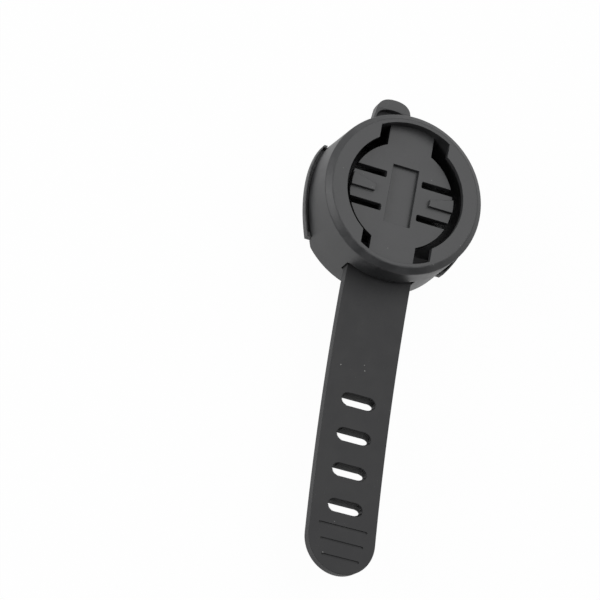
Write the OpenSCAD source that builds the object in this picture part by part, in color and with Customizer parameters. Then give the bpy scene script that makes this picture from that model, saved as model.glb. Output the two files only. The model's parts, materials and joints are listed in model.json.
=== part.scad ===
// Handlebar mount for a bicycle computer: a moulded socket housing with a
// quarter-turn opening, a rubber pad under it and a silicone strap.
// X runs along the handlebar, +Y to the hook, -Y to the strap, +Z out of the socket.
// The origin is on top of the handlebar, under the middle of the socket.

/* [Socket] */
// Diameter of the round opening between the lips
socket_d = 25.8; // [24.8:0.1:26.6]
// Diameter across the two notches that let the tabs in
notch_d = 30.7; // [29.5:0.1:32]
// Width of the notches
notch_w = 15.4; // [13:0.1:17]
// Thickness of the lips that hold the tabs down
lip_t = 1.25; // [1:0.05:1.8]
// Room for the tabs between the lips and the floor
tab_gap = 1.25; // [1:0.05:1.8]
// Clearance round the notches inside the housing
chamber_gap = 0.15; // [0.1:0.05:0.5]

/* [Floor] */
// Diameter of the floor disc
floor_d = 23; // [21:0.1:24.4]
// Thickness of the floor
floor_t = 1.6; // [1.2:0.1:2.4]
// Width of the two bridges that join the floor to the wall
bridge_w = 10; // [8:0.2:12]
// Distance between the middles of the two slits beside a tongue
slit_pitch = 7.5; // [6.6:0.1:8.4]
// Width of a slit
slit_w = 1.4; // [0.8:0.1:1.6]
// Radius of the corners at a slit's inner end
slit_corner = 0.3; // [0.1:0.05:0.35]
// Distance from the middle to a slit's inner end
slit_start = 4; // [3.6:0.1:5]
// Height of the detent ridge on a tongue
ridge_h = 0.8; // [0.3:0.05:0.9]
// Distance from the middle to a ridge's inner end
ridge_start = 6.1; // [5.6:0.1:7]
// Width of a ridge at its inner end
ridge_w_in = 1.5; // [1:0.1:2]
// Width of a ridge at its outer end
ridge_w_out = 2.9; // [2.2:0.1:3.6]
// Distance from a ridge's outer end to the floor's edge
ridge_margin = 0.05; // [0.05:0.05:0.5]
// Width of the sunk panel in the middle
panel_w = 5.8; // [4:0.1:6.4]
// Length of the sunk panel
panel_l = 12.9; // [8:0.1:16]
// Depth of the sunk panel
panel_depth = 0.9; // [0.2:0.05:0.95]

/* [Housing] */
// Height from the foot of the wall to the rim
body_h = 16; // [14.5:0.5:20]
// Thickness of the wall at the rim
wall_t = 1.95; // [1.6:0.05:2.6]
// How far the wall leans out from the rim to its foot
wall_draft = 0.5; // [0:0.05:0.8]
// Width of the bevel round the rim
bevel_w = 1.3; // [0.6:0.1:1.5]
// Height of the bevel round the rim
bevel_h = 1.1; // [0.6:0.05:2]
// How far from each edge of the bevel its rounding starts
bevel_blend = 0.3; // [0.1:0.05:0.6]
// Thickness of the two ribs under the floor
rib_t = 1.2; // [0.8:0.1:1.6]
// Distance between the middles of the two ribs
rib_pitch = 6.2; // [5:0.1:6.4]
// Thickness of the closed underside
bottom_t = 1.4; // [1:0.1:2]

/* [Handlebar] */
// Diameter of the handlebar
bar_d = 31.8; // [30:0.1:32.6]
// How far the handlebar reaches up inside the housing
bar_rise = 4.9; // [4:0.1:5.4]
// Clearance between the housing's feet and the bar
bar_clear = 0.15; // [0.1:0.05:0.4]
// Thickness of the rubber pad
pad_t = 0.9; // [0.7:0.05:1.2]
// Length of the pad round the bar, across the bar
pad_w = 21; // [16:0.2:21.6]
// Thickness of the pad's turned-up lips
pad_lip_t = 0.35; // [0.3:0.05:0.8]
// Height of the lips above the pad
pad_lip_h = 0.7; // [0.4:0.05:1.2]
// Width of the groove between a lip and the wall
pad_groove = 0.45; // [0.2:0.05:0.8]
// How far the groove reaches in under the wall's foot
groove_under = 0.35; // [0.2:0.05:0.6]
// Thickness of the pad under the groove
groove_floor_t = 0.4; // [0.3:0.05:0.6]
// Length of the web that closes each end of the groove
pad_web = 0.8; // [0.5:0.1:1.5]

/* [Strap] */
// Width of the strap
strap_w = 14.5; // [12:0.1:16]
// Thickness of the strap
strap_t = 2.6; // [2:0.1:3]
// Height of the strap's underside above the foot of the wall
strap_lift = 5.3; // [4.8:0.1:6]
// Distance from the middle of the socket to the strap's tip
strap_reach = 80; // [78:0.2:110]
// Radius of the slight curve in which the strap lies
strap_bend_r = 690; // [400:10:3000]
// Number of slots
slot_count = 4; // [2:1:5]
// Distance between slots
slot_pitch = 7.43; // [6.6:0.01:8]
// Distance from the middle of the socket to the last slot
last_slot = 66.4; // [60:0.1:68]
// Length of a slot across the strap
slot_l = 7.5; // [6:0.1:9]
// Width of a slot along the strap
slot_w = 3; // [2:0.1:3.4]
// Number of grip grooves near the tip
grip_count = 3; // [1:1:3]
// Length of the groove nearest to the slots
grip_l = 10.6; // [6:0.1:11]
// How much shorter each next groove is
grip_step = 1.2; // [0:0.1:2]
// Distance between grooves
grip_pitch = 3.15; // [2:0.05:3.4]
// Distance from the last slot to the first groove
grip_margin = 2.6; // [1.5:0.1:3]
// Width of a groove
grip_w = 0.5; // [0.3:0.05:0.8]
// Depth of the grip grooves near the tip
grip_depth = 0.3; // [0.15:0.05:0.5]
// Width of the strap's head inside the housing
head_w = 20; // [18.4:0.1:21]
// Thickness of the strap's head
head_t = 3.6; // [3.2:0.1:4]
// Length of the strap's head
head_l = 5; // [4:0.1:6]

/* [Window] */
// Clearance on each side of the strap in its window
window_side = 0.35; // [0.2:0.05:0.6]
// Clearance above the strap in its window
window_top = 1.4; // [0.4:0.1:1.6]
// Radius of the window's upper corners
window_corner = 0.5; // [0.3:0.1:1]
// Thickness of the shelf that carries the strap's head
shelf_t = 1.4; // [1:0.1:2]

/* [Hook] */
// Width of the hook at its end
hook_w = 6.6; // [5.6:0.1:7]
// Width of the hook at the wall
hook_root_w = 11.4; // [9.4:0.1:12]
// Distance from the middle of the socket to the hook's end
hook_reach = 27.6; // [26.4:0.1:30]
// Height of the lip's top below the foot of the wall
hook_drop = 2.1; // [1:0.1:4]
// Height of the lip above the arm's bed
hook_lip_h = 1.3; // [1:0.1:2]
// Thickness of the lip
hook_lip_t = 2.5; // [1.8:0.1:3]
// Thickness of the arm
hook_arm_t = 1.5; // [1.2:0.1:2.2]
// Thickness of the two low walls beside the arm's bed
hook_side_t = 0.5; // [0.4:0.1:1]
// How far the hook's underside rises towards its end
hook_toe = 1.4; // [0:0.1:2]
// Length of the hook's arched end
hook_arch_l = 2.4; // [1:0.1:3]
// Length of the bed's arched end
hook_bed_l = 2.6; // [1:0.1:3]

/* [Hidden] */
$fn = 96;

eps = 0.02;
// Running clearance between pieces that are put together by hand
fit = 0.1;

// Heights above the handlebar's axis
bar_r = bar_d/2;
foot_z = bar_r - bar_rise;
rim_z = foot_z + body_h;
lip_z = rim_z - lip_t;
floor_z = lip_z - tab_gap;
floor_under_z = floor_z - floor_t;
strap_z = foot_z + strap_lift;
strap_top_z = strap_z + strap_t;
window_z = strap_top_z + window_top;

// Radii about the socket's axis
socket_r = socket_d/2;
notch_r = notch_d/2;
chamber_r = notch_r + chamber_gap;
rim_r = chamber_r + wall_t;
foot_r = rim_r + wall_draft;

// Radii about the handlebar's axis
arch_r = bar_r + pad_t;
seat_r = arch_r + fit;

// The pad's lips stand outside the wall
lip_in_r = foot_r + pad_groove;
lip_out_r = lip_in_r + pad_lip_t;

// Distances of the strap's head and of its free part from the socket's middle
head_y = chamber_r - fit;
head_back_y = head_y - head_l;
strap_free_y = foot_r + 2;

// Lowers what is drawn from the handlebar's axis so that the bar's top is at the origin
module from_bar_axis() {
    translate([0, 0, -bar_r]) children();
}

module along_x(length) {
    rotate([0, 90, 0]) translate([0, 0, -length/2]) children();
}

// A box centred on X and Y that stands on z0
module block(x, y, z0, z1) {
    translate([-x/2, -y/2, z0]) cube([x, y, z1 - z0]);
}

// Points of a curve from a to b that leaves a towards the corner and comes from the corner into b
function arc_by(a, corner, b, steps) =
    [for (i = [0 : steps]) let (t = i/steps) (1 - t)*(1 - t)*a + 2*t*(1 - t)*corner + t*t*b];

// Points of a curve that rounds the corner between two lines, from a length before it to as much after it
function rounded(before, corner, after, reach) =
    arc_by(corner + reach*(before - corner)/norm(before - corner), corner,
           corner + reach*(after - corner)/norm(after - corner), 5);

// The wall with its bevelled rim, open below
module wall_shell() {
    foot = [foot_r, foot_z];
    low = [rim_r, rim_z - bevel_h];
    high = [rim_r - bevel_w, rim_z];
    mouth = [socket_r, rim_z];
    rotate_extrude()
        polygon(concat(
            [[chamber_r, foot_z], foot],
            rounded(foot, low, high, bevel_blend),
            rounded(low, high, mouth, bevel_blend),
            [mouth, [socket_r, lip_z], [chamber_r, lip_z]]
        ));
}

// The two notches in the lips, with sides parallel to Y
module notches() {
    intersection() {
        translate([0, 0, lip_z - eps]) cylinder(h = lip_t + 2*eps, r = notch_r);
        block(notch_w, 2*notch_r, lip_z - eps, rim_z + eps);
    }
}

// One slit beside a tongue, with round corners at its inner end
module slit() {
    corner_y = slit_w/2 - slit_corner;
    translate([slit_start, slit_pitch/2, floor_under_z - eps]) linear_extrude(floor_t + 2*eps) {
        translate([slit_corner, -slit_w/2]) square([floor_d/2, slit_w]);
        translate([0, -corner_y]) square([slit_w, 2*corner_y]);
        for (s = [-1, 1]) translate([slit_corner, s*corner_y]) circle(slit_corner, $fn = 12);
    }
}

// The detent ridge of one tongue: one flank straight, the other slanted
module ridge() {
    intersection() {
        translate([0, -ridge_w_in/2, floor_z - eps])
            linear_extrude(ridge_h + eps)
                polygon([
                    [ridge_start, 0],
                    [floor_d/2, 0],
                    [floor_d/2, ridge_w_out],
                    [ridge_start, ridge_w_in]
                ]);
        cylinder(h = rim_z, d = floor_d - 2*ridge_margin);
    }
}

// The floor disc on its two bridges, with two spring tongues cut out of it
module socket_floor() {
    difference() {
        union() {
            translate([0, 0, floor_under_z]) cylinder(h = floor_t, d = floor_d);
            block(bridge_w, 2*chamber_r + wall_t, floor_under_z, floor_z);
        }
        for (sx = [0, 1], sy = [0, 1]) mirror([sx, 0, 0]) mirror([0, sy, 0]) slit();
        block(panel_w, panel_l, floor_z - panel_depth, floor_z + eps);
    }
    for (sx = [0, 1]) mirror([sx, 0, 0]) ridge();
}

// Two ribs under the floor: shallow over the strap's head, down to the pad behind it
module ribs() {
    rib_l = 2*chamber_r + wall_t;
    deep_y = -head_back_y + fit;
    for (s = [-1, 1]) translate([s*rib_pitch/2 - rib_t/2, 0, 0]) {
        translate([0, -rib_l/2, window_z]) cube([rib_t, rib_l, floor_under_z - window_z + eps]);
        translate([0, deep_y, foot_z]) cube([rib_t, rib_l/2 - deep_y, floor_under_z - foot_z]);
    }
}

// The shelf inside the wall that the strap's head lies on
module strap_shelf() {
    shelf_w = head_w + 2;
    intersection() {
        translate([0, 0, strap_z - fit - shelf_t]) cylinder(h = shelf_t, r = chamber_r + wall_t/2);
        translate([-shelf_w/2, -foot_r, foot_z]) cube([shelf_w, foot_r - head_back_y, body_h]);
    }
}

// The closed underside: an arch over the handlebar between two flat feet
module underside() {
    intersection() {
        translate([0, 0, foot_z]) cylinder(h = body_h/2, r = chamber_r + wall_t/2);
        union() {
            along_x(3*foot_r) cylinder(h = 3*foot_r, r = seat_r + bottom_t, $fn = 180);
            block(2*foot_r, 2*foot_r, foot_z, foot_z + bottom_t);
        }
    }
}

// The window in the wall that the strap passes through, with round corners
module strap_window() {
    w = strap_w + 2*window_side;
    z0 = strap_z - fit;
    corner_x = w/2 - window_corner;
    corner_z = window_z - window_corner;
    translate([0, -chamber_r + wall_t, 0]) rotate([90, 0, 0])
        linear_extrude(foot_r) {
            translate([-w/2, z0]) square([w, corner_z - z0]);
            translate([-corner_x, z0]) square([2*corner_x, window_z - z0]);
            for (s = [-1, 1]) translate([s*corner_x, corner_z]) circle(window_corner, $fn = 12);
        }
}

// Half of the hook's width at a distance from the socket's middle
function hook_half(y) = hook_root_w/2 - (y - foot_r)*(hook_root_w - hook_w)/2/(hook_reach - foot_r);

// The hook seen from above, inset at its sides: a taper whose end is an arch that starts a length before it
module hook_outline(inset, reach, arch_l) {
    side = [hook_half(reach - arch_l) - inset, reach - arch_l];
    corner = [hook_half(reach) - inset, reach];
    arch = arc_by(side, corner, [0, reach], 7);
    polygon(concat(
        [[hook_half(0) - inset, 0]],
        arch,
        [for (i = [len(arch) - 2 : -1 : 0]) [-arch[i].x, arch[i].y]],
        [[inset - hook_half(0), 0]]
    ));
}

// The hook's side view between a top line and a bottom line that may rise at its end
module hook_side(top_root, top_end, bottom_root, bottom_end, toe) {
    root_y = chamber_r + wall_t/2;
    end_y = hook_reach + fit;
    knee_y = hook_reach - hook_lip_t;
    along_x(2*hook_root_w)
        linear_extrude(2*hook_root_w)
            polygon([
                [-top_root, root_y],
                [-top_end, knee_y],
                [-top_end, end_y],
                [-bottom_end - toe, end_y],
                [-bottom_end, knee_y],
                [-bottom_root, root_y]
            ]);
}

// A sloping arm with an upturned round lip; a strap slot drops over it
module hook() {
    lip_top_z = foot_z - hook_drop;
    bed_z = lip_top_z - hook_lip_h;
    root_z = foot_z + hook_arm_t;
    difference() {
        intersection() {
            hook_side(root_z, lip_top_z, foot_z, bed_z - hook_arm_t, hook_toe);
            linear_extrude(2*rim_z) hook_outline(0, hook_reach, hook_arch_l);
        }
        intersection() {
            hook_side(rim_z, foot_z, root_z, bed_z, 0);
            linear_extrude(2*rim_z) hook_outline(hook_side_t, hook_reach - hook_lip_t, hook_bed_l);
        }
    }
}

module socket_housing() {
    color([0.17, 0.17, 0.18]) from_bar_axis()
        difference() {
            union() {
                difference() {
                    wall_shell();
                    notches();
                }
                socket_floor();
                ribs();
                underside();
                strap_shelf();
                hook();
            }
            along_x(3*foot_r) cylinder(h = 3*foot_r, r = bar_r + bar_clear, $fn = 180);
            // Recess for the pad
            intersection() {
                along_x(3*foot_r) cylinder(h = 3*foot_r, r = seat_r, $fn = 180);
                block(3*foot_r, pad_w + 2*fit, 0, rim_z);
            }
            strap_window();
        }
}

// Arched rubber pad between the housing and the handlebar, with a lip at each end
module bar_pad() {
    lip_arch_r = arch_r + pad_lip_h;
    module arch(r) { along_x(3*lip_out_r) cylinder(h = 3*lip_out_r, r = r, $fn = 180); }
    color([0.13, 0.13, 0.135]) from_bar_axis()
        difference() {
            intersection() {
                union() {
                    arch(arch_r);
                    difference() {
                        arch(lip_arch_r);
                        cylinder(h = rim_z, r = lip_in_r);
                    }
                    // Webs that close the ends of the grooves
                    difference() {
                        arch(lip_arch_r);
                        cylinder(h = rim_z, r = foot_r + fit);
                        block(3*foot_r, pad_w - 2*pad_web, 0, rim_z);
                    }
                }
                cylinder(h = rim_z, r = lip_out_r);
                block(3*foot_r, pad_w, 0, rim_z);
            }
            arch(bar_r);
            // The grooves between the lips and the wall
            intersection() {
                difference() {
                    block(3*foot_r, pad_w - 2*pad_web, bar_r - bar_rise, rim_z);
                    arch(bar_r + groove_floor_t);
                    cylinder(h = rim_z, r = foot_r - groove_under);
                }
                cylinder(h = rim_z, r = lip_in_r);
            }
        }
}

// Sideways place of the strap's middle line at a distance from the socket's middle
function bend_x(y) = y < strap_free_y ? 0 : pow(y - strap_free_y, 2)/(2*strap_bend_r);

// Puts its children on the strap's middle line at a distance from the socket's middle
module on_strap(y) {
    translate([bend_x(y), -y, 0]) children();
}

// The strap seen from above: two long edges and a round tip
module strap_outline() {
    tip_r = strap_w/2;
    tip_y = strap_reach - tip_r;
    steps = 24;
    edge = [for (i = [0 : steps]) head_back_y + (tip_y - head_back_y)*i/steps];
    polygon(concat(
        [for (y = edge) [bend_x(y) + tip_r, -y]],
        [for (i = [1 : steps - 1]) let (a = 180*i/steps) [bend_x(tip_y) + tip_r*cos(a), -tip_y - tip_r*sin(a)]],
        [for (i = [steps : -1 : 0]) [bend_x(edge[i]) - tip_r, -edge[i]]]
    ));
}

module strap_slot() {
    run = slot_l - slot_w;
    translate([0, 0, strap_z - 1]) {
        translate([-run/2, -slot_w/2, 0]) cube([run, slot_w, strap_t + 2]);
        for (s = [-1, 1]) translate([s*run/2, 0, 0]) cylinder(h = strap_t + 2, d = slot_w, $fn = 48);
    }
}

// Silicone strap: a head behind the window, a row of slots, a round tip with grip grooves
module strap() {
    first_grip = last_slot + slot_w/2 + grip_margin;
    color([0.15, 0.15, 0.155]) from_bar_axis()
        difference() {
            union() {
                translate([0, 0, strap_z]) linear_extrude(strap_t) strap_outline();
                intersection() {
                    translate([0, 0, strap_z]) cylinder(h = head_t, r = head_y);
                    translate([-head_w/2, -chamber_r, strap_z])
                        cube([head_w, chamber_r - head_back_y, head_t]);
                }
            }
            for (i = [0 : slot_count - 1]) on_strap(last_slot - i*slot_pitch) strap_slot();
            for (i = [0 : grip_count - 1])
                on_strap(first_grip + i*grip_pitch)
                    block(grip_l - i*grip_step, grip_w, strap_top_z - grip_depth, strap_top_z + 1);
        }
}

socket_housing();
bar_pad();
strap();
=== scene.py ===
"""Handlebar mount for a bicycle computer: moulded socket, rubber bar pad and silicone strap."""

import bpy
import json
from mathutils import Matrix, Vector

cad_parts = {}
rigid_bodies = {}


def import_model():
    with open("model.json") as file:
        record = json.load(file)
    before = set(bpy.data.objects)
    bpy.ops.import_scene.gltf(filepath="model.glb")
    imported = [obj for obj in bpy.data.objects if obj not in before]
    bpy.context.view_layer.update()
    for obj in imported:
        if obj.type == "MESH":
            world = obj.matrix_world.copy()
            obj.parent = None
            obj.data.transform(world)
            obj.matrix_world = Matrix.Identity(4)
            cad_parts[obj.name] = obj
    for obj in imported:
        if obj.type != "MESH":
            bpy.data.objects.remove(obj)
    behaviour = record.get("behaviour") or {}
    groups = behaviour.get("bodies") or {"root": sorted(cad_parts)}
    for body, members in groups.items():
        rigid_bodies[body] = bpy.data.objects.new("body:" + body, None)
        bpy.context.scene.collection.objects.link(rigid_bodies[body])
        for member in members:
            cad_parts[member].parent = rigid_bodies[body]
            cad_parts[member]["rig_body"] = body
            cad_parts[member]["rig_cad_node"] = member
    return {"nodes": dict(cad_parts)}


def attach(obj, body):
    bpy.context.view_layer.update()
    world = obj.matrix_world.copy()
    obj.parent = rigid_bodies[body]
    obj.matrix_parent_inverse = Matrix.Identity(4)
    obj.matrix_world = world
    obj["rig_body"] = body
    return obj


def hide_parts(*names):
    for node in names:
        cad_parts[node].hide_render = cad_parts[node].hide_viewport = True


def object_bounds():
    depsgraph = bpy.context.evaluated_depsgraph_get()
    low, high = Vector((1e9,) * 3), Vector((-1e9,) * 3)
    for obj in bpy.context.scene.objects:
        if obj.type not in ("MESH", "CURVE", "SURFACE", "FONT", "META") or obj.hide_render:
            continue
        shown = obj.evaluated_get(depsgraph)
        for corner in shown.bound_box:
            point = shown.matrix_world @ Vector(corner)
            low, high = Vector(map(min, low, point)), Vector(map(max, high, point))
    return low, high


bl_info = {
    "name": "Bike Computer Mount",
    "version": (1, 0, 0),
    "blender": (4, 5, 0),
    "location": "View3D > Sidebar > Bike Mount",
    "description": "Builds the finished pieces of a handlebar mount around its solid model",
    "category": "Object",
}

import json
import math

import bmesh
import bpy
from bpy.props import FloatProperty, FloatVectorProperty, IntProperty, PointerProperty
from mathutils import Matrix, Vector

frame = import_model()
CAD_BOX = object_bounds()
BODY = "root"
MM = 0.001

# The camera of the picture: where it stands, its right and up directions and its lens
CAMERA_PLACE = (-0.138730, -0.175669, 0.436869)
CAMERA_RIGHT = (0.92962, 0.17599, 0.32378)
CAMERA_UP = (-0.26256, 0.93282, 0.24681)
CAMERA_LENS = 138.528
CAMERA_SENSOR = 36
CAMERA_CLIP = (0.01, 10)

# The two softboxes, each with its place and its size, and the point that both face
TOP_SOFTBOX = ((0.2, 0.24, 0.7), (0.6, 0.6))
SIDE_SOFTBOX = ((-0.65, -0.05, 0.37), (0.4, 0.3))
SOFTBOX_TARGET = (0, -0.02, 0)

# The room's light rises between these directions' Y, which is -1 straight towards the near side
ROOM_RISE = (-0.75, -0.1)
FLOOR_ROUGHNESS = 0.9

# Radius of a fully rounded end, just short of a fold: a share of half the width, and of the width
TIP_ROUNDING = 0.9999
SLOT_ROUNDING = 0.4999
FINE_SIDES = 192

# Points closer than these count as one: when edges are tested, and when doubles are merged
SAME_PLACE = 1e-7
MERGE = 1e-6


def length(name, description, default):
    """A length that the sidebar shows in millimetres."""
    return FloatProperty(
        name=name,
        description=description,
        default=default * MM,
        min=0,
        precision=5,
        unit="LENGTH",
        subtype="DISTANCE",
    )


def colour(name, description, default):
    return FloatVectorProperty(
        name=name, description=description, default=default, size=3, min=0, max=1, subtype="COLOR"
    )


def factor(name, description, default, top=1.0):
    return FloatProperty(
        name=name, description=description, default=default, min=0, max=top, subtype="FACTOR"
    )


def power(name, description, default):
    return FloatProperty(name=name, description=description, default=default, unit="POWER")


# ---------------------------------------------------------------- sizes and colours


class HousingSettings(bpy.types.PropertyGroup):
    edge_radius: length("Edge radius", "Radius of the moulded edges", 0.1)
    bevel_angle: FloatProperty(
        name="Bevel angle",
        description="Outer edges sharper than this are rounded",
        default=math.radians(32),
        subtype="ANGLE",
    )
    tint: colour("Plastic", "Colour of the moulded plastic", (0.026, 0.0265, 0.028))
    worn_tint: colour("Dusty plastic", "Colour where dust dulls it", (0.040, 0.0405, 0.042))
    roughness: factor("Roughness", "Roughness of the plastic's fine grain", 0.44)
    grain: length("Grain", "Size of the mould's spark-eroded grain", 0.22)


class PadSettings(bpy.types.PropertyGroup):
    bar_radius: length("Bar radius", "Radius of the handlebar", 15.9)
    thickness: length("Thickness", "Thickness of the arched pad", 0.9)
    width: length("Width", "Length of the pad across the bar", 21)
    wall_radius: length("Wall radius", "Radius of the housing's wall at its foot", 17.95)
    groove: length("Groove", "Width of the groove between lip and wall", 0.45)
    groove_under: length("Groove undercut", "How far the groove reaches in under the wall", 0.35)
    groove_floor: length("Groove floor", "Thickness of the pad under the groove", 0.4)
    lip: length("Lip", "Thickness of the turned-up lips", 0.35)
    lip_height: length("Lip height", "Height of the lips above the pad", 0.7)
    web: length("Web", "Length of the web at a groove's end", 0.8)
    edge_radius: length("Edge radius", "Radius of the pad's edges", 0.09)
    tint: colour("Rubber", "Colour of the pad's rubber", (0.066, 0.066, 0.067))
    roughness: factor("Roughness", "Roughness of the rubber", 0.6)


class StrapSettings(bpy.types.PropertyGroup):
    width: length("Width", "Width of the strap", 14.5)
    thickness: length("Thickness", "Thickness of the strap", 2.6)
    underside: length("Underside", "Height of the underside above the pad's crown", 0.4)
    reach: length("Reach", "Distance from the socket's middle to the strap's tip", 80)
    straight: length("Straight part", "Distance from the socket to the curve's start", 19.95)
    bend: length("Curve", "Radius of the slight curve in which the strap lies", 690)
    station: length("Station", "Distance between the cuts that let the strap curve", 2.4)
    slots: IntProperty(name="Slots", description="Number of slots", default=4, min=1, max=5)
    slot_pitch: length("Slot pitch", "Distance between slots", 7.43)
    last_slot: length("Last slot", "Distance from the socket's middle to the last slot", 66.4)
    slot_length: length("Slot length", "Length of a slot across the strap", 7.5)
    slot_width: length("Slot width", "Width of a slot inside its rounded rim", 2.75)
    slot_draft: length("Slot draft", "How far a slot's long walls lean in at the underside", 0.75)
    grips: IntProperty(name="Grips", description="Number of grip grooves", default=3, min=1, max=3)
    grip_start: length("Grip start", "Distance from the socket to the first groove", 70.5)
    grip_pitch: length("Grip pitch", "Distance between grip grooves", 3.15)
    grip_length: length("Grip length", "Length of the first grip groove", 10.6)
    grip_step: length("Grip step", "How much shorter each next groove is", 1.2)
    grip_width: length("Grip width", "Width of a grip groove", 0.5)
    grip_depth: length("Grip depth", "Depth of a grip groove", 0.3)
    head_width: length("Head width", "Width of the head inside the housing", 20)
    head_length: length("Head length", "Length of the head", 5)
    head_thickness: length("Head thickness", "Thickness of the head", 3.6)
    head_radius: length("Head radius", "Radius of the housing's room for the head", 15.4)
    edge_radius: length("Edge radius", "Radius of the strap's edges", 0.13)
    tint: colour("Silicone", "Colour of the strap's silicone", (0.019, 0.019, 0.020))
    roughness: factor("Roughness", "Roughness of the silicone", 0.58)


class StageSettings(bpy.types.PropertyGroup):
    floor_gap: length("Floor gap", "Distance of the floor below the lowest point", 0.05)
    floor_size: length("Floor size", "Width of the floor", 3000)
    floor_tint: colour("Floor", "Colour of the floor", (0.86, 0.86, 0.86))
    backdrop_share: factor("Backdrop share", "Share of the floor that is plain white", 0.97)
    ambient: factor("Ambient light", "Strength of the light from all round", 0.55, 3)
    near_side: factor("Near side", "How bright the room is on its near side, as a share", 0.12)
    top_power: power("Top light", "Power of the softbox above", 2.0)
    side_power: power("Side light", "Power of the softbox beside", 2.2)


# ---------------------------------------------------------------- modelling helpers


def deselect():
    """Leaves edit mode and selects nothing, because an operator acts on all that is selected."""
    if bpy.context.mode != "OBJECT":
        bpy.ops.object.mode_set(mode="OBJECT")
    bpy.ops.object.select_all(action="DESELECT")


def only(piece):
    deselect()
    piece.select_set(True)
    bpy.context.view_layer.objects.active = piece
    return piece


def settle(piece, name):
    """Puts a piece's place, turn and scale into its mesh, and names it."""
    only(piece)
    bpy.ops.object.transform_apply(location=True, rotation=True, scale=True)
    piece.name = piece.data.name = name
    return piece


def add_block(low, high, name="block"):
    """A box between two corners."""
    deselect()
    low, high = Vector(low), Vector(high)
    bpy.ops.mesh.primitive_cube_add(size=1, location=(low + high) / 2, scale=high - low)
    return settle(bpy.context.object, name)


def add_round(radius, span, place=(0, 0, 0), along="Z", sides=128):
    """A cylinder along Z or X, with its span given along that axis."""
    deselect()
    turn = (0, math.pi / 2, 0) if along == "X" else (0, 0, 0)
    middle = Vector(place)
    middle["XYZ".index(along)] += (span[0] + span[1]) / 2
    bpy.ops.mesh.primitive_cylinder_add(
        vertices=sides, radius=radius, depth=span[1] - span[0], location=middle, rotation=turn
    )
    return settle(bpy.context.object, "round")


def combine(piece, tool, operation):
    """Cuts, joins or intersects a piece with a tool, which is then gone."""
    only(piece)
    change = piece.modifiers.new("combine", "BOOLEAN")
    change.object = tool
    change.operation = operation
    change.solver = "EXACT"
    bpy.ops.object.modifier_apply(modifier=change.name)
    bpy.data.objects.remove(tool)
    return piece


def cut(piece, tool):
    return combine(piece, tool, "DIFFERENCE")


def keep(piece, tool):
    return combine(piece, tool, "INTERSECT")


def join(piece, tool):
    return combine(piece, tool, "UNION")


def select_edges(piece, wanted):
    """In edit mode, selects the edges for which wanted(edge) is true."""
    only(piece)
    bpy.ops.object.mode_set(mode="EDIT")
    bpy.ops.mesh.select_mode(type="EDGE")
    bpy.ops.mesh.select_all(action="DESELECT")
    mesh = bmesh.from_edit_mesh(piece.data)
    for edge in mesh.edges:
        edge.select_set(wanted(edge))
    bmesh.update_edit_mesh(piece.data)


def round_uprights(piece, radius, segments, wanted=lambda place: True):
    """Rounds the upright edges of a box, seen from above."""
    def upright(edge):
        foot, head = (corner.co for corner in edge.verts)
        return (foot - head).xy.length < SAME_PLACE and wanted(foot)

    select_edges(piece, upright)
    bpy.ops.mesh.bevel(offset=radius, offset_type="OFFSET", segments=segments, profile=0.5)
    bpy.ops.mesh.select_all(action="SELECT")
    bpy.ops.mesh.remove_doubles(threshold=MERGE)
    deselect()
    return piece


def soften(piece, radius, segments=2, angle=math.radians(32)):
    """Rounds the outer edges that are sharper than the angle, and leaves inner corners alone."""
    select_edges(piece, lambda edge: edge.calc_face_angle_signed(0) > angle)
    bpy.ops.transform.edge_bevelweight(value=1)
    only(piece)
    change = piece.modifiers.new("soften", "BEVEL")
    change.width = radius
    change.segments = segments
    change.limit_method = "WEIGHT"
    change.miter_outer = "MITER_ARC"
    change.use_clamp_overlap = False
    bpy.ops.object.modifier_apply(modifier=change.name)
    return piece


def clean(piece, merge=MERGE, flat=0.0):
    """Merges doubles, joins flat faces where asked, and turns the faces outwards."""
    only(piece)
    bpy.ops.object.mode_set(mode="EDIT")
    bpy.ops.mesh.select_all(action="SELECT")
    bpy.ops.mesh.remove_doubles(threshold=merge)
    if flat:
        bpy.ops.mesh.dissolve_limited(angle_limit=flat, use_dissolve_boundaries=False)
    bpy.ops.mesh.normals_make_consistent(inside=False)
    deselect()
    return piece


def smooth(piece, outer=math.radians(60), inner=math.radians(30)):
    """Shades the rounded edges smooth, and keeps the inner corners, which aren't rounded, crisp."""
    def crisp(edge):
        angle = edge.calc_face_angle_signed(0)
        return angle > outer or angle < -inner

    only(piece)
    bpy.ops.object.shade_smooth()
    select_edges(piece, crisp)
    bpy.ops.mesh.mark_sharp()
    only(piece)
    change = piece.modifiers.new("even", "WEIGHTED_NORMAL")
    change.weight = 100
    change.keep_sharp = True
    bpy.ops.object.modifier_apply(modifier=change.name)
    return piece


def hand_over(piece, node, material):
    """Gives a piece its material and lets it stand for its node of the solid model."""
    piece.data.materials.clear()
    piece.data.materials.append(material)
    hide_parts(node)
    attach(piece, BODY)
    return piece


# ---------------------------------------------------------------- materials


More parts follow.
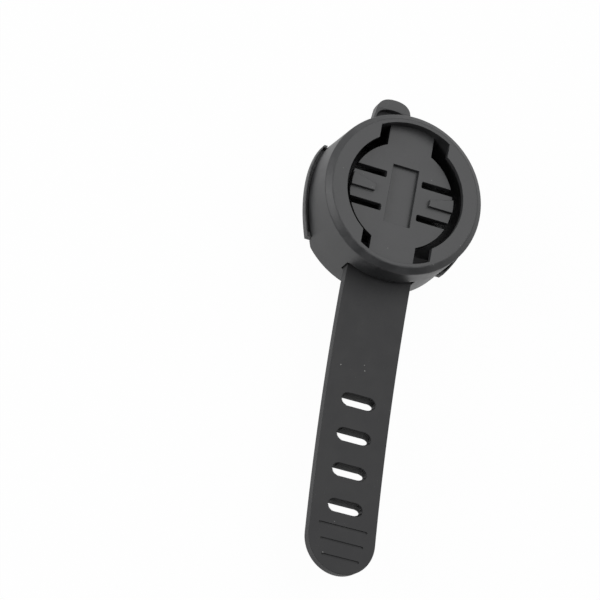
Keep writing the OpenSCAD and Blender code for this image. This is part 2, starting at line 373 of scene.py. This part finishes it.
class Finish:
    """A node material that is built up step by step on Object coordinates."""

    def __init__(self, name):
        self.material = bpy.data.materials.new(name)
        self.material.use_nodes = True
        self.tree = self.material.node_tree
        self.shader = self.tree.nodes["Principled BSDF"]
        self.place = self.tree.nodes.new("ShaderNodeTexCoord").outputs["Object"]

    def node(self, kind, **values):
        made = self.tree.nodes.new(kind)
        for key, value in values.items():
            setattr(made, key, value)
        return made

    def link(self, source, target):
        self.tree.links.new(source, target)

    def noise(self, size, detail=3, roughness=0.5, distortion=0.0):
        """Cloudy noise whose spots are about as wide as size, in metres."""
        made = self.node("ShaderNodeTexNoise")
        self.link(self.place, made.inputs["Vector"])
        made.inputs["Scale"].default_value = 1 / size
        made.inputs["Detail"].default_value = detail
        made.inputs["Roughness"].default_value = roughness
        made.inputs["Distortion"].default_value = distortion
        return made.outputs["Fac"]

    def specks(self, spacing, radius):
        """Small round spots, one where a scattered cell's middle comes near the surface."""
        made = self.node("ShaderNodeTexVoronoi", feature="F1")
        self.link(self.place, made.inputs["Vector"])
        made.inputs["Scale"].default_value = 1 / spacing
        rim = radius / spacing
        return self.spread(made.outputs["Distance"], rim, rim / 2, 0, 1)

    def spread(self, value, low, high, to_low, to_high):
        """Maps a range of values to another, and stops at its ends."""
        made = self.node("ShaderNodeMapRange")
        self.link(value, made.inputs["Value"])
        sockets = ("From Min", "From Max", "To Min", "To Max")
        for socket, number in zip(sockets, (low, high, to_low, to_high)):
            made.inputs[socket].default_value = number
        return made.outputs["Result"]

    def mix(self, share, first, second):
        """Blends two colours, each a tuple or a socket, by the value of a socket."""
        made = self.node("ShaderNodeMix", data_type="RGBA")
        self.link(share, made.inputs["Factor"])
        for socket, value in ((made.inputs[6], first), (made.inputs[7], second)):
            if hasattr(value, "is_linked"):
                self.link(value, socket)
            else:
                socket.default_value = (*value, 1)
        return made.outputs[2]

    def bump(self, height, depth, strength=1.0, before=None):
        """Raises the surface by a height map, depth metres high."""
        made = self.node("ShaderNodeBump")
        made.inputs["Distance"].default_value = depth
        made.inputs["Strength"].default_value = strength
        self.link(height, made.inputs["Height"])
        if before:
            self.link(before, made.inputs["Normal"])
        return made.outputs["Normal"]

    def set(self, **values):
        """Sets or links the shader's own sockets."""
        for key, value in values.items():
            socket = self.shader.inputs[key.replace("_", " ")]
            if hasattr(value, "is_linked"):
                self.link(value, socket)
            else:
                socket.default_value = value
        return self.material


def plastic_finish(settings):
    """Black moulded plastic: spark-eroded grain, slight clouding, and a little dust."""
    cloud_size, cloud_rough = 3.5 * MM, 0.08
    dust_spacing, dust_radius, dust_tint = 2.6 * MM, 0.10 * MM, (0.22, 0.22, 0.21)
    grain_depth, wave_size, wave_depth = 0.012 * MM, 1.6 * MM, 0.02 * MM

    made = Finish("housing_plastic")
    clouds = made.spread(made.noise(cloud_size, detail=4, roughness=0.55), 0.42, 0.68, 0, 1)
    dust = made.specks(dust_spacing, dust_radius)
    tint = made.mix(clouds, tuple(settings.tint), tuple(settings.worn_tint))
    tint = made.mix(dust, tint, dust_tint)
    rough = made.spread(clouds, 0, 1, settings.roughness, settings.roughness + cloud_rough)
    grain = made.noise(settings.grain, detail=2, roughness=0.5)
    grain = made.bump(grain, grain_depth, strength=0.55)
    waves = made.noise(wave_size, detail=2, roughness=0.4)
    waves = made.bump(waves, wave_depth, strength=0.35, before=grain)
    return made.set(Base_Color=tint, Roughness=rough, IOR=1.5, Normal=waves)


def rubber_finish(settings):
    """Matte black rubber with a fine skin."""
    cloud_size, cloud_gain, cloud_rough = 2.0 * MM, 1.5, 0.1
    skin_size, skin_depth = 0.15 * MM, 0.012 * MM

    made = Finish("pad_rubber")
    clouds = made.spread(made.noise(cloud_size, detail=3, roughness=0.6), 0.4, 0.7, 0, 1)
    paler = tuple(min(1, part * cloud_gain) for part in settings.tint)
    tint = made.mix(clouds, tuple(settings.tint), paler)
    rough = made.spread(clouds, 0, 1, settings.roughness, settings.roughness + cloud_rough)
    skin = made.noise(skin_size, detail=3, roughness=0.6)
    skin = made.bump(skin, skin_depth, strength=0.5)
    return made.set(Base_Color=tint, Roughness=rough, IOR=1.48, Normal=skin)


def silicone_finish(settings):
    """Soft black silicone: satin skin, faint flow clouds and clinging dust specks."""
    cloud_size, cloud_gain, cloud_rough = 5.0 * MM, 1.45, 0.12
    dust_spacing, dust_radius, dust_tint = 3.1 * MM, 0.16 * MM, (0.30, 0.30, 0.29)
    fine_spacing, fine_radius, fine_tint = 1.1 * MM, 0.05 * MM, (0.12, 0.12, 0.12)
    skin_size, skin_depth = 0.18 * MM, 0.014 * MM
    flow_size, flow_depth = 4.0 * MM, 0.05 * MM

    made = Finish("strap_silicone")
    clouds = made.noise(cloud_size, detail=4, roughness=0.6, distortion=0.4)
    clouds = made.spread(clouds, 0.38, 0.7, 0, 1)
    paler = tuple(min(1, part * cloud_gain) for part in settings.tint)
    tint = made.mix(clouds, tuple(settings.tint), paler)
    tint = made.mix(made.specks(dust_spacing, dust_radius), tint, dust_tint)
    tint = made.mix(made.specks(fine_spacing, fine_radius), tint, fine_tint)
    rough = made.spread(clouds, 0, 1, settings.roughness, settings.roughness + cloud_rough)
    skin = made.noise(skin_size, detail=3, roughness=0.55)
    skin = made.bump(skin, skin_depth, strength=0.5)
    flow = made.noise(flow_size, detail=2, roughness=0.5)
    flow = made.bump(flow, flow_depth, strength=0.4, before=skin)
    return made.set(Base_Color=tint, Roughness=rough, IOR=1.42, Normal=flow)


# ---------------------------------------------------------------- pieces


class MOUNT_OT_socket_housing(bpy.types.Operator):
    """Finish the moulded housing: softened edges and fine-grained plastic"""

    bl_idname = "bike_mount.socket_housing"
    bl_label = "Socket housing"

    def execute(self, context):
        settings = context.scene.bike_mount_housing
        only(frame["nodes"]["socket_housing"])
        bpy.ops.object.duplicate()
        shell = context.object
        shell.name = shell.data.name = "housing_shell"
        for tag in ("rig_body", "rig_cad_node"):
            if tag in shell:
                del shell[tag]
        clean(shell, merge=0.002 * MM, flat=math.radians(1.2))
        soften(shell, settings.edge_radius, angle=settings.bevel_angle)
        smooth(shell)
        hand_over(shell, "socket_housing", plastic_finish(settings))
        return {"FINISHED"}


class MOUNT_OT_bar_pad(bpy.types.Operator):
    """Model the arched rubber pad with its turned-up lips"""

    bl_idname = "bike_mount.bar_pad"
    bl_label = "Bar pad"

    def execute(self, context):
        s = context.scene.bike_mount_pad
        axis = (0, 0, -s.bar_radius)
        arch = s.bar_radius + s.thickness
        lip_in = s.wall_radius + s.groove
        lip_out = lip_in + s.lip
        wall_gap = 0.1 * MM
        long = (-2 * lip_out, 2 * lip_out)
        tall = (-s.bar_radius, s.bar_radius)
        half = s.width / 2

        def bar(radius):
            return add_round(radius, long, axis, "X", FINE_SIDES)

        def across(half_width):
            return add_block((long[0], -half_width, tall[0]), (long[1], half_width, tall[1]))

        pad = bar(arch + s.lip_height)
        pad.name = pad.data.name = "rubber_pad"
        groove = keep(add_round(lip_in, tall), across(half - s.web))
        cut(groove, bar(s.bar_radius + s.groove_floor))
        cut(pad, cut(groove, keep(add_round(s.wall_radius - s.groove_under, tall), bar(arch))))
        cut(pad, cut(add_round(s.wall_radius + wall_gap, tall), bar(arch)))
        keep(pad, add_round(lip_out, tall, sides=FINE_SIDES))
        keep(pad, across(half))
        cut(pad, bar(s.bar_radius))
        clean(pad)
        soften(pad, s.edge_radius)
        smooth(pad)
        hand_over(pad, "bar_pad", rubber_finish(s))
        return {"FINISHED"}


class MOUNT_OT_strap(bpy.types.Operator):
    """Model the silicone strap with its slots, grip grooves and head"""

    bl_idname = "bike_mount.strap"
    bl_label = "Strap"

    def execute(self, context):
        s = context.scene.bike_mount_strap
        low, top = s.underside, s.underside + s.thickness
        half = s.width / 2
        back = -(s.head_radius - s.head_length)
        strap = add_block((-half, -s.reach, low), (half, back, top), "silicone_strap")

        def at_tip(place):
            return place.y < -s.reach + s.width

        round_uprights(strap, half * TIP_ROUNDING, segments=28, wanted=at_tip)

        def capsule(length, width, y, depth, segments, draft=0):
            """A round-ended bar across the strap, from depth below its top to depth above it."""
            made = add_block(
                (-length / 2, y - width / 2, top - depth), (length / 2, y + width / 2, top + depth)
            )
            round_uprights(made, width * SLOT_ROUNDING, segments)
            for vertex in made.data.vertices:
                lean = 1 - 2 * draft / width * (top - vertex.co.z) / s.thickness
                vertex.co.y = y + (vertex.co.y - y) * lean
            return made

        through = s.thickness + s.edge_radius
        for i in range(s.slots):
            y = -(s.last_slot - i * s.slot_pitch)
            slot = capsule(s.slot_length, s.slot_width, y, through, segments=12, draft=s.slot_draft)
            cut(strap, slot)

        # Cuts across the strap, so that its long edges can follow the curve
        only(strap)
        bpy.ops.object.mode_set(mode="EDIT")
        stations = int((s.reach - s.straight) / s.station)
        for i in range(stations):
            bpy.ops.mesh.select_all(action="SELECT")
            bpy.ops.mesh.bisect(plane_co=(0, -s.straight - i * s.station, 0), plane_no=(0, 1, 0))
        deselect()

        head_half = s.head_width / 2
        head_top = low + s.head_thickness
        head = add_block((-head_half, -2 * s.head_radius, low), (head_half, back, head_top))
        room = add_round(s.head_radius, (low - MM, low + 2 * s.head_thickness), sides=96)
        join(strap, keep(head, room))
        clean(strap)
        soften(strap, s.edge_radius, segments=3, angle=math.radians(50))
        for i in range(s.grips):
            y = -(s.grip_start + i * s.grip_pitch)
            groove_length = s.grip_length - i * s.grip_step
            cut(strap, capsule(groove_length, s.grip_width, y, s.grip_depth, segments=4))

        # The slight sideways curve, as a parabola from where the straight part ends
        for vertex in strap.data.vertices:
            past = max(0, -vertex.co.y - s.straight)
            vertex.co.x += past * past / (2 * s.bend)
        smooth(strap)
        hand_over(strap, "strap", silicone_finish(s))
        return {"FINISHED"}


class MOUNT_OT_stage(bpy.types.Operator):
    """Set up the white floor, the soft studio light and the camera"""

    bl_idname = "bike_mount.stage"
    bl_label = "Stage"

    def add_floor(self, s, low):
        deselect()
        bpy.ops.mesh.primitive_plane_add(size=s.floor_size, location=(0, 0, low - s.floor_gap))
        floor = settle(bpy.context.object, "studio_floor")
        made = bpy.data.materials.new("studio_white")
        made.use_nodes = True
        tree = made.node_tree
        shader = tree.nodes["Principled BSDF"]
        shader.inputs["Base Color"].default_value = (*s.floor_tint, 1)
        shader.inputs["Roughness"].default_value = FLOOR_ROUGHNESS
        white = tree.nodes.new("ShaderNodeEmission")
        seen = self.seen_by(tree)
        share = tree.nodes.new("ShaderNodeMath")
        share.operation = "MULTIPLY"
        share.inputs[1].default_value = s.backdrop_share
        tree.links.new(seen, share.inputs[0])
        mix = tree.nodes.new("ShaderNodeMixShader")
        tree.links.new(share.outputs[0], mix.inputs[0])
        tree.links.new(shader.outputs[0], mix.inputs[1])
        tree.links.new(white.outputs[0], mix.inputs[2])
        tree.links.new(mix.outputs[0], tree.nodes["Material Output"].inputs["Surface"])
        floor.data.materials.append(made)

    def seen_by(self, tree):
        """1 for camera, glossy and transmission rays, which see the backdrop's plain white."""
        path = tree.nodes.new("ShaderNodeLightPath")
        last = path.outputs["Is Camera Ray"]
        for ray in ("Is Glossy Ray", "Is Transmission Ray"):
            either = tree.nodes.new("ShaderNodeMath")
            either.operation = "MAXIMUM"
            tree.links.new(last, either.inputs[0])
            tree.links.new(path.outputs[ray], either.inputs[1])
            last = either.outputs[0]
        return last

    def add_world(self, s):
        """White for the camera; for the object a pale room that is dark on its near side."""
        world = bpy.data.worlds.new("studio")
        world.use_nodes = True
        tree = world.node_tree
        back = tree.nodes["Background"]
        back.inputs["Color"].default_value = (1, 1, 1, 1)
        strength = tree.nodes.new("ShaderNodeMapRange")
        tree.links.new(self.seen_by(tree), strength.inputs["Value"])
        strength.inputs["To Min"].default_value = s.ambient
        strength.inputs["To Max"].default_value = 1
        place = tree.nodes.new("ShaderNodeTexCoord")
        parts = tree.nodes.new("ShaderNodeSeparateXYZ")
        tree.links.new(place.outputs["Generated"], parts.inputs[0])
        room = tree.nodes.new("ShaderNodeMapRange")
        tree.links.new(parts.outputs["Y"], room.inputs["Value"])
        room.inputs["From Min"].default_value = ROOM_RISE[0]
        room.inputs["From Max"].default_value = ROOM_RISE[1]
        room.inputs["To Min"].default_value = s.near_side
        lit = tree.nodes.new("ShaderNodeMath")
        lit.operation = "MULTIPLY"
        tree.links.new(strength.outputs["Result"], lit.inputs[0])
        tree.links.new(room.outputs["Result"], lit.inputs[1])
        white = tree.nodes.new("ShaderNodeMath")
        white.operation = "MAXIMUM"
        path = tree.nodes.new("ShaderNodeLightPath")
        tree.links.new(path.outputs["Is Camera Ray"], white.inputs[0])
        tree.links.new(lit.outputs[0], white.inputs[1])
        tree.links.new(white.outputs[0], back.inputs["Strength"])
        bpy.context.scene.world = world

    def add_softbox(self, name, place, size, power):
        deselect()
        place, target = Vector(place), Vector(SOFTBOX_TARGET)
        bpy.ops.object.light_add(type="AREA", location=place)
        lamp = bpy.context.object
        lamp.name = name
        lamp.data.shape = "RECTANGLE"
        lamp.data.size, lamp.data.size_y = size
        lamp.data.energy = power
        lamp.rotation_euler = (target - place).to_track_quat("-Z", "Y").to_euler()

    def add_camera(self):
        deselect()
        bpy.ops.object.camera_add()
        camera = bpy.context.object
        right, up = Vector(CAMERA_RIGHT).normalized(), Vector(CAMERA_UP)
        back = right.cross(up).normalized()
        up = back.cross(right)
        turn = Matrix((right, up, back)).transposed()
        camera.matrix_world = Matrix.Translation(CAMERA_PLACE) @ turn.to_4x4()
        camera.data.lens = CAMERA_LENS
        camera.data.sensor_width = CAMERA_SENSOR
        camera.data.clip_start, camera.data.clip_end = CAMERA_CLIP
        bpy.context.scene.camera = camera

    def execute(self, context):
        s = context.scene.bike_mount_stage
        self.add_floor(s, CAD_BOX[0].z)
        self.add_world(s)
        self.add_softbox("softbox_top", *TOP_SOFTBOX, s.top_power)
        self.add_softbox("softbox_side", *SIDE_SOFTBOX, s.side_power)
        self.add_camera()
        context.scene.view_settings.view_transform = "Standard"
        return {"FINISHED"}


class MOUNT_PT_panel(bpy.types.Panel):
    """Sizes, colours and steps of the handlebar mount"""

    bl_label = "Bike Mount"
    bl_idname = "MOUNT_PT_panel"
    bl_space_type = "VIEW_3D"
    bl_region_type = "UI"
    bl_category = "Bike Mount"

    def draw(self, context):
        for title, group, step in (
            ("Housing", "bike_mount_housing", "bike_mount.socket_housing"),
            ("Bar pad", "bike_mount_pad", "bike_mount.bar_pad"),
            ("Strap", "bike_mount_strap", "bike_mount.strap"),
            ("Stage", "bike_mount_stage", "bike_mount.stage"),
        ):
            box = self.layout.box()
            box.label(text=title)
            settings = getattr(context.scene, group)
            for key in settings.__annotations__:
                box.prop(settings, key)
            box.operator(step)


CLASSES = (
    HousingSettings,
    PadSettings,
    StrapSettings,
    StageSettings,
    MOUNT_OT_socket_housing,
    MOUNT_OT_bar_pad,
    MOUNT_OT_strap,
    MOUNT_OT_stage,
    MOUNT_PT_panel,
)
GROUPS = {
    "bike_mount_housing": HousingSettings,
    "bike_mount_pad": PadSettings,
    "bike_mount_strap": StrapSettings,
    "bike_mount_stage": StageSettings,
}


def register():
    for item in CLASSES:
        bpy.utils.register_class(item)
    for name, group in GROUPS.items():
        setattr(bpy.types.Scene, name, PointerProperty(type=group))


def unregister():
    for name in GROUPS:
        delattr(bpy.types.Scene, name)
    for item in reversed(CLASSES):
        bpy.utils.unregister_class(item)


def main():
    register()
    bpy.ops.bike_mount.socket_housing()
    bpy.ops.bike_mount.bar_pad()
    bpy.ops.bike_mount.strap()
    bpy.ops.bike_mount.stage()


if __name__ == "__main__":
    main()
